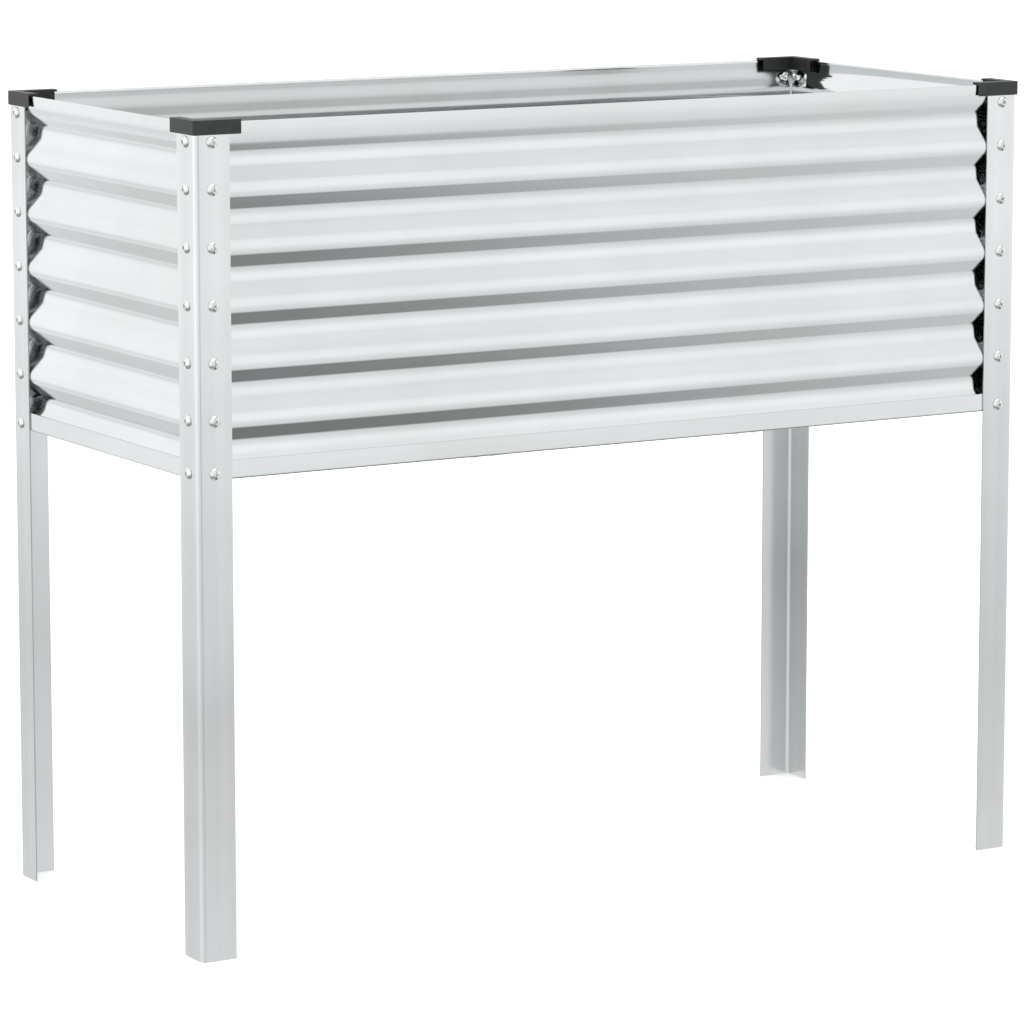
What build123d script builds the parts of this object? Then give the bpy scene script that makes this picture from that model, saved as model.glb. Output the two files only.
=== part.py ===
"""Raised planter on legs: a corrugated galvanised box on four angle legs, bolted together.

Millimetres. The origin is on the floor under the middle of the box, +X runs along the
length, the front is at -Y and +Z is up. A depth is measured inwards from the outer face
of the legs. The pieces of one corner are made at the front left and mirrored to the others.
"""

from build123d import *

import math
import os

# Overall
length = 1025.0
width = 448.0
leg_height = 872.0

# Legs, folded from sheet into equal angles
leg_flange = 40.0
leg_sheet = 1.5
leg_bend_radius = 6.0

# Corrugated panels
panel_sheet = 0.8
wave_pitch = 59.3
wave_depth = 9.3
wave_lean = 0.464
drop_angle = 26.0
rise_angle = 22.0
foot_land = 1.84
most_bend_share = 0.95
top_depth = 1.7
top_run = 6.0
top_radius = 43.0
top_least = 36.0
hem_radius = 1.0
hem_drop = 2.5

# Bottom rails, folded angles that hold the floor
rail_bottom = 505.0
rail_height = 20.0
rail_ledge = 25.0
rail_sheet = 1.5
rail_bend_radius = 2.5

# Floor sheets and the braces under their joints
floor_sheet = 0.8
floor_corner_notch = 30.0
drain_radius = 4.0
drain_rows = 3
drain_columns = 3
brace_sheet = 1.5
brace_width = 44.0
brace_depth = 8.0
brace_offset = 165.0
brace_taper_start = 48.0
brace_tab_reach = 16.0

# Corner caps
cap_reach = 53.0
cap_width = 12.4
cap_wall = 1.1
cap_plate = 2.5
cap_skirt = 12.6
cap_end_inset = 3.0
cap_corner_radius = 3.0
cap_edge_radius = 0.7
cap_rib = 1.2

# Screws and nuts through the legs
screw_radius = 3.0
screw_above_crest = 1.5
highest_screw_down = 20.0
head_radius = 6.2
head_rim = 0.9
head_height = 3.9
recess_length = 6.4
recess_width = 1.3
recess_depth = 1.9
nut_across_flats = 10.0
nut_height = 5.0
stock_lengths = (8, 10, 12, 16, 20, 25, 30, 35, 40, 50)

# Screws and nuts through the floor
floor_screw_radius = 2.5
floor_screw_spread = 11.0
floor_screw_depth = 20.0
floor_head_radius = 5.5
floor_head_height = 2.1
floor_nut_across_flats = 8.0
floor_nut_height = 4.0
floor_screw_length = 10.0

# Clearances
sheet_gap = 0.05
hole_clearance = 0.3
thread_clearance = 0.05
corner_gap = 1.4
ledge_gap = 0.5
floor_gap = 1.0
cap_clearance = 0.1
thread_show = 1.0
nut_ledge_gap = 0.5
nut_corner_gap = 1.8
screw_end_gap = 1.0

# What follows from them
crest_depth = leg_sheet + sheet_gap
valley_depth = crest_depth + wave_depth
panel_inside = valley_depth + panel_sheet
end_setback = panel_inside + corner_gap
panel_foot_depth = leg_sheet + rail_sheet
ledge_top = rail_bottom + rail_sheet
floor_top = ledge_top + floor_sheet
ledge_inside = leg_sheet + rail_ledge

os.makedirs("parts", exist_ok=True)


def keep(part, name):
    """Labels a finished piece and writes its STEP file."""
    part.label = name
    export_step(part, f"parts/{name}.step")


def keep_both(part, name, first, second, about):
    """Keeps a piece and its mirror image on the other side of the middle."""
    keep(part, f"{name}_{first}")
    with BuildPart() as other:
        mirror(part, about=about)
    keep(other.part, f"{name}_{second}")


def keep_four(part, name):
    """Keeps a front left corner piece and its three mirror images."""
    with BuildPart() as rear_piece:
        mirror(part, about=Plane.XZ)
    keep_both(part, f"{name}_front", "left", "right", Plane.YZ)
    keep_both(rear_piece.part, f"{name}_rear", "left", "right", Plane.YZ)


def inward_plane(side):
    """Profile plane of a side: its X points into the box, its Y up, its Z along the side."""
    if side == "front":
        return Plane(origin=(0, -width / 2, 0), x_dir=(0, 1, 0), z_dir=(1, 0, 0))
    return Plane(origin=(-length / 2, 0, 0), x_dir=(1, 0, 0), z_dir=(0, -1, 0))


def outward_plane(side):
    """Outer face of the legs on a side: its Y points up and its Z out of the box."""
    if side == "front":
        return Plane(origin=(0, -width / 2, 0), x_dir=(1, 0, 0), z_dir=(0, -1, 0))
    return Plane(origin=(-length / 2, 0, 0), x_dir=(0, -1, 0), z_dir=(-1, 0, 0))


def side_length(side):
    """Distance between the outer faces of the legs, measured along a side."""
    return length if side == "front" else width


# ---------------------------------------------------------------- section of the corrugated sheet


def half_wave(height, depth, angle):
    """Bend radius and straight run that change the depth over a height at a slope angle."""
    slope = math.radians(angle)
    radius = (height - depth / math.tan(slope)) / (2 * math.tan(slope / 2))
    run = (depth - 2 * radius * (1 - math.cos(slope))) / math.sin(slope)
    return radius, run


def bend_height(radius, run, angle):
    """Height taken by two opposite bends and the straight run between them."""
    slope = math.radians(angle)
    return 2 * radius * math.sin(slope) + run * math.cos(slope)


def short_wave(depth, radius, angle):
    """Bend radius and straight run of a slope that ends early.

    Its two bends take no more than their share of its depth, so a run is always left.
    """
    slope = math.radians(angle)
    bend_factor = 2 * (1 - math.cos(slope))
    radius = min(radius, most_bend_share * depth / bend_factor)
    return radius, (depth - bend_factor * radius) / math.sin(slope)


wave_drop = wave_lean * wave_pitch
wave_rise = wave_pitch - wave_drop
drop_radius, drop_run = half_wave(wave_drop, wave_depth, drop_angle)
rise_radius, rise_run = half_wave(wave_rise, wave_depth, rise_angle)

# The lowest slope stops at the rail.
foot_radius, foot_run = short_wave(valley_depth - panel_foot_depth, rise_radius, rise_angle)
foot_bottom = floor_top + sheet_gap
foot_top = foot_bottom + foot_land
first_crest = foot_top + bend_height(foot_radius, foot_run, rise_angle) + wave_drop

# As many whole waves as leave room for the top slope.
wave_count = 1 + int((leg_height - top_least - wave_rise - first_crest) / wave_pitch)
crests = [first_crest + wave_pitch * number for number in range(wave_count)]


def top_slope(valley):
    """Radius and turn of the top bend, and the straight land from it to the hem.

    The land touches the circles of the top bend and of the hem, both on their outer side.
    The bend takes no more than its share of the depth, so the sheet stays behind the legs.
    """
    steep = math.radians(drop_angle)
    bend_start = valley_depth - drop_radius * (1 - math.cos(steep)) - top_run * math.sin(steep)
    most_radius = most_bend_share * (bend_start - top_depth) / (1 - math.cos(steep))
    radius = min(top_radius, most_radius)
    bend_depth = bend_start + radius * math.cos(steep)
    bend_place = valley + (drop_radius + radius) * math.sin(steep) + top_run * math.cos(steep)
    apart = Vector(top_depth + hem_radius - bend_depth, leg_height - hem_radius - bend_place)
    smaller = radius - hem_radius
    lean = math.atan2(-apart.X, apart.Y) - math.asin(smaller / apart.length)
    return radius, drop_angle - math.degrees(lean), math.sqrt(apart.length**2 - smaller**2)


top_bend, top_turn, top_land = top_slope(crests[-1] + wave_rise)


def slope_in(radius, run, angle):
    """Path steps, going up, from a shallow depth to the valley: bend in, run, bend back."""
    return [(radius, -angle), (run, 0), (radius, angle)]


def slope_out(radius, run, angle):
    """Path steps, going up, from the valley to a shallow depth."""
    return [(radius, angle), (run, 0), (radius, -angle)]


panel_steps = [(foot_land, 0)]
panel_steps += slope_in(foot_radius, foot_run, rise_angle)
for crest in crests:
    panel_steps += slope_out(drop_radius, drop_run, drop_angle)
    panel_steps += slope_in(rise_radius, rise_run, rise_angle)
panel_steps += [(drop_radius, drop_angle), (top_run, 0), (top_bend, -top_turn)]
panel_steps += [(top_land, 0), (hem_radius, -180), (hem_drop, 0)]


def trace_steps(start, steps, inset):
    """Draws the steps upwards from a point, moved to the right by an inset.

    A step is a length and 0 for a straight run, or a bend radius and its turn in degrees,
    positive to the left. The radius is that of the outer face of the sheet.
    """
    here = Vector(*start)
    heading = Vector(0, 1)
    for size, turn in steps:
        if turn == 0:
            step = Line(here, here + heading * size)
        else:
            radius = size + inset if turn > 0 else size - inset
            step = JernArc(start=here, tangent=heading, radius=radius, arc_size=turn)
        here = step @ 1
        heading = step % 1
    return here


with BuildSketch() as panel_section:
    with BuildLine():
        outer_end = trace_steps((panel_foot_depth, foot_bottom), panel_steps, 0)
        inner_start = (panel_foot_depth + panel_sheet, foot_bottom)
        inner_end = trace_steps(inner_start, panel_steps, panel_sheet)
        Line((panel_foot_depth, foot_bottom), inner_start)
        Line(outer_end, inner_end)
    make_face()


# ---------------------------------------------------------------- where the screws go


def panel_reach(middle, tall):
    """Depth that the panel reaches in a strip of this height."""
    strip = Pos(valley_depth, middle) * Rectangle(2 * valley_depth, tall)
    return (panel_section.sketch & strip).bounding_box().max.X


screw_heights = [
    ledge_top + nut_across_flats / 2 + nut_ledge_gap,
    *[crest + screw_above_crest for crest in crests],
    leg_height - highest_screw_down,
]
seats = {height: panel_reach(height, nut_across_flats) + sheet_gap for height in screw_heights}
needed = {height: seats[height] + nut_height + thread_show for height in screw_heights}
lengths = {
    height: min(stock for stock in stock_lengths if stock >= needed[height])
    for height in screw_heights
}

# Two nuts at one height, one on each flange, clear each other in the corner, as do two screws.
nut_corner_radius = nut_across_flats / math.sqrt(3)
screw_inset = max(
    max(seats.values()) + nut_height + nut_corner_radius + nut_corner_gap,
    max(lengths.values()) + screw_radius + screw_end_gap,
)


def screw_points(side):
    """Screw centres in the outward plane, at both ends of a side."""
    reach = side_length(side) / 2 - screw_inset
    return [(end * reach, height) for end in (-1, 1) for height in screw_heights]


# ---------------------------------------------------------------- legs


with BuildPart() as leg:
    with BuildSketch():
        with BuildLine():
            corner_x = -length / 2
            corner_y = -width / 2
            Polyline(
                (corner_x, corner_y),
                (corner_x + leg_flange, corner_y),
                (corner_x + leg_flange, corner_y + leg_sheet),
                (corner_x + leg_sheet, corner_y + leg_sheet),
                (corner_x + leg_sheet, corner_y + leg_flange),
                (corner_x, corner_y + leg_flange),
                close=True,
            )
        angle = make_face()
        bend = angle.vertices().sort_by_distance((corner_x, corner_y, 0))
        fillet(bend[0], leg_bend_radius)
        fillet(bend[1], leg_bend_radius - leg_sheet)
    extrude(amount=leg_height)
    for side in ("front", "left"):
        with BuildSketch(outward_plane(side)):
            with Locations(*screw_points(side)):
                Circle(screw_radius + hole_clearance)
        extrude(amount=-leg_sheet, mode=Mode.SUBTRACT)
keep_four(leg.part, "leg")


# ---------------------------------------------------------------- corrugated panels


def make_panel(side):
    """A corrugated panel between the two corners of a side, drilled for its screws."""
    with BuildPart() as panel:
        with BuildSketch(inward_plane(side)):
            add(panel_section.sketch)
        extrude(amount=side_length(side) / 2 - end_setback, both=True)
        with BuildSketch(outward_plane(side)):
            with Locations(*screw_points(side)):
                Circle(screw_radius + hole_clearance)
        extrude(amount=-panel_inside, mode=Mode.SUBTRACT)
    return panel.part


keep_both(make_panel("front"), "panel", "front", "rear", Plane.XZ)
keep_both(make_panel("left"), "panel", "left", "right", Plane.YZ)


# ---------------------------------------------------------------- bottom rails


def make_rail(side):
    """An angle under a panel: its upright stands before the panel, its ledge holds the floor."""
    with BuildPart() as rail:
        with BuildSketch(inward_plane(side)):
            with BuildLine():
                Polyline(
                    (leg_sheet, rail_bottom),
                    (ledge_inside, rail_bottom),
                    (ledge_inside, ledge_top),
                    (panel_foot_depth, ledge_top),
                    (panel_foot_depth, rail_bottom + rail_height),
                    (leg_sheet, rail_bottom + rail_height),
                    close=True,
                )
            angle = make_face()
            bend = angle.vertices().sort_by_distance((leg_sheet, rail_bottom, 0))
            fillet(bend[0], rail_bend_radius)
            fillet(bend[1], rail_bend_radius - rail_sheet)
        extrude(amount=side_length(side) / 2 - end_setback, both=True)
        with BuildSketch(outward_plane(side)):
            with Locations(*screw_points(side)):
                Circle(screw_radius + hole_clearance)
        extrude(amount=-ledge_inside, mode=Mode.SUBTRACT)
        if side == "front":
            with BuildSketch(Plane.XY.offset(rail_bottom)):
                with Locations(*floor_screw_points()):
                    Circle(floor_screw_radius + hole_clearance)
            extrude(amount=rail_sheet, mode=Mode.SUBTRACT)
        else:
            # The ledges of the long rails run through the corners, so these stop short of them.
            notch = ledge_inside + ledge_gap
            with BuildSketch(Plane.XY.offset(rail_bottom)):
                for end in (-1, 1):
                    with Locations((panel_foot_depth - length / 2, end * width / 2)):
                        Rectangle(notch, 2 * notch, align=(Align.MIN, Align.CENTER))
            extrude(amount=rail_height, mode=Mode.SUBTRACT)
    return rail.part


def floor_screw_points():
    """Screw centres through the long rails, two on each end of each brace."""
    return [
        (brace * brace_offset + beside * floor_screw_spread, end * (width / 2 - floor_screw_depth))
        for brace in (-1, 1)
        for beside in (-1, 1)
        for end in (-1, 1)
    ]


keep_both(make_rail("front"), "rail", "front", "rear", Plane.XZ)
keep_both(make_rail("left"), "rail", "left", "right", Plane.YZ)


# ---------------------------------------------------------------- floor and braces


def make_floor(start, end):
    """A floor sheet between two places along the length, with drain holes and cut corners."""
    edge = panel_foot_depth + panel_sheet + floor_gap
    with BuildPart() as sheet:
        with BuildSketch(Plane.XY.offset(ledge_top)):
            with Locations(((start + end) / 2, 0)):
                Rectangle(end - start, width - 2 * edge)
                apart_x = (end - start) / drain_columns
                apart_y = (width - 2 * floor_corner_notch) / drain_rows
                with GridLocations(apart_x, apart_y, drain_columns, drain_rows):
                    Circle(drain_radius, mode=Mode.SUBTRACT)
            with Locations(*floor_screw_points()):
                Circle(floor_screw_radius + hole_clearance, mode=Mode.SUBTRACT)
            with GridLocations(length, width, 2, 2):
                Rectangle(2 * floor_corner_notch, 2 * floor_corner_notch, mode=Mode.SUBTRACT)
        extrude(amount=floor_sheet)
    return sheet.part


floor_end = length / 2 - panel_foot_depth - panel_sheet - floor_gap
floor_joint = brace_offset - ledge_gap
keep(make_floor(-floor_joint, floor_joint), "floor_middle")
keep_both(
    make_floor(-floor_end, -floor_joint - 2 * ledge_gap), "floor", "left", "right", Plane.YZ
)

with BuildPart() as brace:
    inner_half = width / 2 - ledge_inside - ledge_gap
    wall_half = width / 2 - brace_taper_start
    tab_half = width / 2 - ledge_inside + brace_tab_reach
    with BuildSketch(Plane.XY.offset(rail_bottom)):
        with Locations((-brace_offset, 0)):
            Rectangle(brace_width, 2 * inner_half)
    extrude(amount=brace_sheet)
    with BuildSketch(Plane.XY.offset(rail_bottom)):
        for beside in (-1, 1):
            wall_place = beside * (brace_width - brace_sheet) / 2 - brace_offset
            with Locations((wall_place, 0)):
                Rectangle(brace_sheet, 2 * wall_half)
    extrude(amount=-brace_depth)
    with BuildSketch(Plane.XY.offset(rail_bottom)):
        for end in (-1, 1):
            with Locations((-brace_offset, end * (wall_half + tab_half) / 2)):
                Rectangle(brace_width, tab_half - wall_half)
        with Locations(*floor_screw_points()):
            Circle(floor_screw_radius + hole_clearance, mode=Mode.SUBTRACT)
    extrude(amount=-brace_sheet)
keep_both(brace.part, "brace", "left", "right", Plane.YZ)


# ---------------------------------------------------------------- corner caps


plate_bottom = leg_height + cap_clearance
cap_outside = cap_clearance + cap_wall
hem_face = panel_reach(plate_bottom - cap_skirt / 2, cap_skirt) + cap_clearance


def arms(start, end, low, high):
    """Two like strips in plan, along both sides of the front left corner.

    Each strip runs from start to end along its side and from low to high in depth.
    """
    with Locations((start - length / 2, low - width / 2)):
        Rectangle(end - start, high - low, align=(Align.MIN, Align.MIN))
    with Locations((low - length / 2, start - width / 2)):
        Rectangle(high - low, end - start, align=(Align.MIN, Align.MIN))


with BuildPart() as cap:
    inner_face = cap_width - cap_outside
    with BuildSketch(Plane.XY.offset(plate_bottom)):
        arms(-cap_outside, cap_reach, -cap_outside, inner_face)
    extrude(amount=cap_plate)
    with BuildSketch(Plane.XY.offset(plate_bottom)):
        arms(-cap_outside, cap_reach, -cap_outside, -cap_clearance)
        arms(inner_face - cap_wall, cap_reach - cap_end_inset, inner_face - cap_wall, inner_face)
    extrude(amount=-cap_skirt)
    with BuildSketch(Plane.XY.offset(plate_bottom)):
        for rib_start in (leg_flange / 2 + head_radius, leg_flange):
            arms(rib_start, rib_start + cap_rib, hem_face, inner_face - cap_wall)
    extrude(amount=-cap_skirt)
    outer_corner = (-length / 2 - cap_outside, -width / 2 - cap_outside, plate_bottom)
    fillet(cap.edges().filter_by(Axis.Z).sort_by_distance(outer_corner)[0], cap_corner_radius)
    fillet(cap.faces().sort_by(Axis.Z)[-1].edges(), cap_edge_radius)
keep_four(cap.part, "cap")


# ---------------------------------------------------------------- screws and nuts


def make_screw(shank_radius, shank_length, radius, height, rim):
    """A domed screw with a cross recess, head up, its bearing face at the origin."""
    with BuildPart() as screw:
        with BuildSketch(Plane.XZ):
            with BuildLine():
                dome = TangentArc((0, height), (radius, rim), tangent=(1, 0))
                Polyline(
                    dome @ 1,
                    (radius, 0),
                    (shank_radius, 0),
                    (shank_radius, -shank_length),
                    (0, -shank_length),
                    dome @ 0,
                )
            make_face()
        revolve(axis=Axis.Z)
        with BuildSketch(Plane.XY.offset(height)):
            Rectangle(recess_length, recess_width)
            Rectangle(recess_width, recess_length)
        extrude(amount=-height * recess_depth / head_height, mode=Mode.SUBTRACT)
    return screw.part


def make_nut(across_flats, height, bore_radius):
    """A hexagon nut under the origin, its seat face at the origin and its far edges broken."""
    with BuildPart() as nut:
        with BuildSketch():
            RegularPolygon(across_flats / 2, 6, major_radius=False)
        extrude(amount=-height)
        chamfer(nut.edges().group_by(Axis.Z)[0], height / 10)
        with BuildSketch():
            Circle(bore_radius)
        extrude(amount=-height, mode=Mode.SUBTRACT)
    return nut.part


nut = make_nut(nut_across_flats, nut_height, screw_radius + thread_clearance)
screws = {
    stock: make_screw(screw_radius, stock, head_radius, head_height, head_rim)
    for stock in set(lengths.values())
}


def corner_places(side, height, depth):
    """Where a fastener of the front left corner sits: its height and how deep it lies."""
    toward_corner = -1 if side == "front" else 1
    along = toward_corner * (side_length(side) / 2 - screw_inset)
    return outward_plane(side) * Pos(along, height, -depth)


with BuildPart() as leg_screws:
    for side in ("front", "left"):
        for height in screw_heights:
            with Locations(corner_places(side, height, 0)):
                add(screws[lengths[height]])
keep_four(leg_screws.part, "leg_screws")

with BuildPart() as leg_nuts:
    for side in ("front", "left"):
        for height in screw_heights:
            with Locations(corner_places(side, height, seats[height])):
                add(nut)
keep_four(leg_nuts.part, "leg_nuts")

floor_screw = make_screw(
    floor_screw_radius, floor_screw_length, floor_head_radius, floor_head_height, head_rim / 2
)
floor_bore_radius = floor_screw_radius + thread_clearance
floor_nut = make_nut(floor_nut_across_flats, floor_nut_height, floor_bore_radius)


def repeated_at_floor_screws(piece, height, facing):
    """The same fastener at every floor screw, at one height, facing up (1) or down (-1)."""
    with BuildPart() as group:
        for x, y in floor_screw_points():
            with Locations(Plane(origin=(x, y, height), z_dir=(0, 0, facing))):
                add(piece)
    return group.part


keep(repeated_at_floor_screws(floor_screw, rail_bottom - brace_sheet, -1), "floor_screws")
keep(repeated_at_floor_screws(floor_nut, floor_top, -1), "floor_nuts")
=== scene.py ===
"""Raised planter on legs, built as an add-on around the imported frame.

Metres. Every piece is modelled where the frame says it is, and its object stays at the
origin. The long sides run along X and the front is at -Y.
"""

import math

import bmesh
import bpy
from bpy.props import FloatProperty, FloatVectorProperty, IntProperty, PointerProperty
from mathutils import Matrix, Vector


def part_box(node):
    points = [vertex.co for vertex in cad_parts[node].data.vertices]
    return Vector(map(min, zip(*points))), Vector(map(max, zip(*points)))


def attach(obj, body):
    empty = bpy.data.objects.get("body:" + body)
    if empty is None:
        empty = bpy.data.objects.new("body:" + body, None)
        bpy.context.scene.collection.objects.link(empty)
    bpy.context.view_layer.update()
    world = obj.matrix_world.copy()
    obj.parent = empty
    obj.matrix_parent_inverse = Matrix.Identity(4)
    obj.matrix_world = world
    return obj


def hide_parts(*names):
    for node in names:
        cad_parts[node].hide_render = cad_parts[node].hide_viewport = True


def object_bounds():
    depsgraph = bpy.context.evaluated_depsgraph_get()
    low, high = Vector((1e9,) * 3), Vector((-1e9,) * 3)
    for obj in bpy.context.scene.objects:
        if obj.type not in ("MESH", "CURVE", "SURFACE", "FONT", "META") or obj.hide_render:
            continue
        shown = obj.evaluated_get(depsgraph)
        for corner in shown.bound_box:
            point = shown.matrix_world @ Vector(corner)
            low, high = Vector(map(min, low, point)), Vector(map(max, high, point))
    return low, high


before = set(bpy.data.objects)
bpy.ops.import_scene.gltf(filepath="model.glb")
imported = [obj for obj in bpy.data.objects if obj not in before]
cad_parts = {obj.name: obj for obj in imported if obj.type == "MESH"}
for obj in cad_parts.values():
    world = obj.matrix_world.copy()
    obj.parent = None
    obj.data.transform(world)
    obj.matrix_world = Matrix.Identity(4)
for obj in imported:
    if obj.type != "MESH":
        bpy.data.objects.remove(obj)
cad_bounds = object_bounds()

bl_info = {
    "name": "Raised Planter on Legs",
    "version": (1, 0, 0),
    "blender": (4, 5, 0),
    "location": "3D View > Sidebar > Planter",
    "description": "Builds a galvanised planter box on four angle legs, piece by piece",
    "category": "Object",
}

MM = 0.001
ALONG, UP = Vector((0, 1, 0)), Vector((0, 0, 1))
FLAT = Vector((1, 0, 1))  # keeps X and Z, the plane that the sections are drawn in
CORNERS = [(end, side) for end in ("front", "rear") for side in ("left", "right")]

# How near two points count as one: within one mesh, from the frame, and at a sheet's end.
TWIN_VERTS = 1e-7
TWIN_CAD_VERTS = 1e-6
SHEET_END = 1e-5

# Zinc coating: grains to the metre of each of its patterns, coarsest first.
HAZE_GRAINS, CLOUD_GRAINS, BAND_GRAINS, WARP_GRAINS = 4.0, 14.0, 55.0, 60.0
SPANGLE_GRAINS, LINE_GRAINS = 150.0, 900.0
SPANGLE_WARP = 0.012  # how far the spangle is pushed out of its even cells
NOISE_LOW, NOISE_HIGH = 0.3, 0.7  # the part of a noise's range that most of it lies in
PATCH_LOW, PATCH_HIGH = 0.35, 0.65  # a narrower part, for patches with plainer edges
# Painted shade and painted light on the legs: darker from the top down to a low height, lighter
# again at the floor.
PAINTED_SHADE_LOW, PAINTED_SHADE_HIGH = 0.27, 0.72  # heights between which the painted shade on the legs deepens
LOW_PAINTED_SHADE, FOOT_PAINTED_LIGHT = 0.74, 1.18  # painted shade at the lower height, and painted light on top of it at the floor
CLOUD_SHARE, HAZE_SHARE, BAND_SHARE = 0.4, 0.8, 0.6  # of a sheet's cloudiness
BLUER = (0.975, 0.99, 1.0)  # tint of the cooler patches
FLOOR_ROUGHNESS = 0.3
ALONG_X, ALONG_Y, ALONG_Z = (0.012, 1, 1), (1, 0.012, 1), (1, 1, 0.012)  # rolling lines

# Plating and plastic: grains to the metre.
PLATING_GRAINS, PLATING_STREAKS, FLOW_GRAINS, LEATHER_GRAINS = 160.0, 1400.0, 90.0, 1500.0
# Colour of dull plating patches, and the grey of the painted shade in corners and recesses.
DULL_PLATING, PLATING_CORNER_SHADE = (0.7, 0.71, 0.72), (0.3, 0.3, 0.3)

# Meshes.
SMOOTH_UNDER = math.radians(40)
EDGE_STEPS = 2  # faces round a broken edge
SQUARE_ON = 0.9  # cosine between a cut end's face and the way that the sheet goes
CAD_FLAT, CAD_SHARP = math.radians(1), 50  # angles that are merged and, in degrees, rounded
MOST_BEND_SHARE = 0.95  # of a shortened slope's depth, taken by its bends

# Screws and nuts, as shares of their own sizes.
THREAD_SLOPE, THREAD_FLOOR = 0.45, 0.1  # of the thread's pitch
RIM_ROUNDING = 0.28  # of the rim's height
RIM_REACH, RIM_SHARP = 0.98, math.radians(30)  # rim edges lie this far out and are this sharp
RECESS_TAPER = 0.72  # width of the cross at its foot
RECESS_MIDDLE = (0.55, 1.5)  # radii of the middle of the cross, of the slot's width
MIDDLE_DEPTH = 1.05  # of the depth of the cross
RECESS_STEPS, DOME_STEPS, RIM_STEPS = 16, 40, 3
NUT_CHAMFER_WIDTH, NUT_CHAMFER_HEIGHT = 0.16, 0.08  # of the radius over the corners
NUT_FACE_BAND = 0.1  # verts deeper than this below a face are the foot of its chamfer
NUT_SHARP = math.radians(60)
SINK_WIDE, SINK_NARROW = 1.2, 0.9  # of the bore
SINK_DEPTH, SINK_PLACE, BORE_LENGTH = 0.12, 0.48, 1.2  # of the nut's height
SCREW_SPIN_START, SCREW_SPIN_STEP = 0.4, 2.399  # no two crosses stand alike
NUT_SPIN_STEP = math.radians(8)
BORE_BITE = 0.4  # how far a nut's bore bites into the thread, of the thread's depth
TURNED_ROOM = 1.002  # how much wider than a nut the round that chamfers it is

# Light from each height of the sky, in degrees above level, on its two halves.
SKY_TOWARD_FRONT = [
    (-90, 0.7), (-70, 0.4), (-60, 0.16), (-53, 0.18), (-50.5, 0.23), (-49, 0.3),
    (-47.6, 0.44), (-46, 0.57), (-43.5, 0.71), (-38, 0.78), (-24, 0.84), (-15, 0.9),
    (-9, 0.95), (-3, 0.98), (8, 1.0), (20, 0.97), (28, 0.93), (31.5, 0.87), (34, 0.76),
    (38, 0.6), (46, 0.62), (56, 1.2), (90, 1.75),
]
SKY_TOWARD_REAR = [
    (-90, 0.7), (-66, 0.4), (-50, 0.3), (-37, 0.44), (-32, 0.55), (-29.5, 0.84), (-27, 0.72),
    (-24, 0.69), (-21.5, 0.88), (-18, 0.84), (-14.5, 0.82), (-12, 0.92), (-9, 0.98),
    (-5, 1.02), (10, 1.02), (35, 0.97), (50, 1.0), (60, 1.3), (90, 1.75),
]
SKY_TINT = (0.985, 1.0, 1.0, 1.0)
SKY_SEAM = (-0.1, 0.25)  # X of the ways that one half gives way to the other between
# Two round patches of the sky: how far round it is, the first from behind the camera, and
# the cosines that it is full and gone at, with what it scales the light by.
SHADE_TURN, SHADE_PATCH = math.radians(24), (0.985, 0.94, 0.7)
BRIGHT_TURN, BRIGHT_PATCH = math.radians(98), (0.93, 0.72, 1.2)

FLOOR_STEPS, FLOOR_MOTTLE, MOTTLE_GRAINS = 96, 0.99, 3.0
OVERHEAD_SIZE, OVERHEAD_ENERGY, OVERHEAD_PLACE = (6.0, 5.0), 60.0, (0.5, -0.5, 4.5)
CAMERA_PLACE = (-2.7024, -4.5883, 1.2929)
SENSOR_WIDTH, CAMERA_REACH = 36, (0.1, 200)


# ---------------------------------------- sizes and colours


def length(title, note, default):
    """A size in metres, given in millimetres."""
    return FloatProperty(
        name=title, description=note, default=default * MM, min=0, unit="LENGTH", precision=4
    )


def turn(title, note, degrees):
    """An angle, given in degrees."""
    return FloatProperty(
        name=title, description=note, default=math.radians(degrees), subtype="ANGLE"
    )


def share(title, note, default, most=1.0):
    """A plain number from nothing to its most."""
    return FloatProperty(name=title, description=note, default=default, min=0, max=most)


def colour(title, note, default):
    """A linear colour."""
    return FloatVectorProperty(
        name=title, description=note, default=default, subtype="COLOR", size=3, min=0, max=1
    )


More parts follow.
